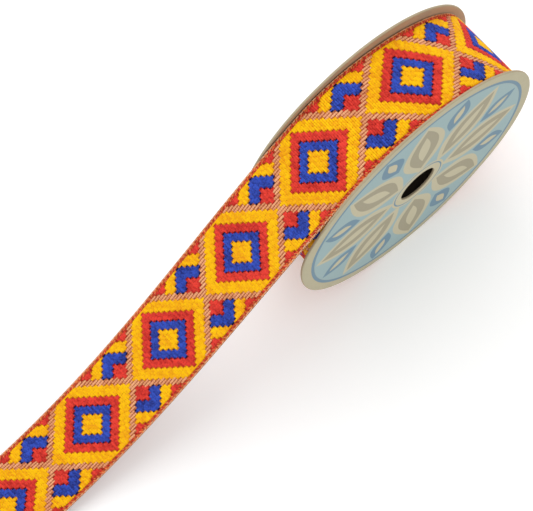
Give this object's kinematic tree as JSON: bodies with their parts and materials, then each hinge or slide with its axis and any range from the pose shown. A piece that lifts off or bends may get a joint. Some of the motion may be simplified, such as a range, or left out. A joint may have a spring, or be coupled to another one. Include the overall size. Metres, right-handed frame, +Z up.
{
  "type": "roll of woven border trim on a card spool",
  "caption": "Patterned woven border trim wound between two round card flanges, its loose end drawn off over the top and laid down in front.",
  "frame": {"origin": "on the ground, in the middle of the footprint of the spool and its loose end", "axes": "+X along the spool's axis towards the near flange, -Y the way the loose end runs, +Z up"},
  "size_m": [0.0406, 0.3422, 0.1277],
  "materials": {
    "woven_trim": "thick woven floats in yellow, red, blue and salmon",
    "card": "uncoated grey board, printed on its outer face"
  },
  "bodies": {
    "root": {"trim_roll": "woven_trim", "trim_loose_end": "woven_trim", "flange_near": "card", "flange_far": "card"}
  },
  "joints": []
}
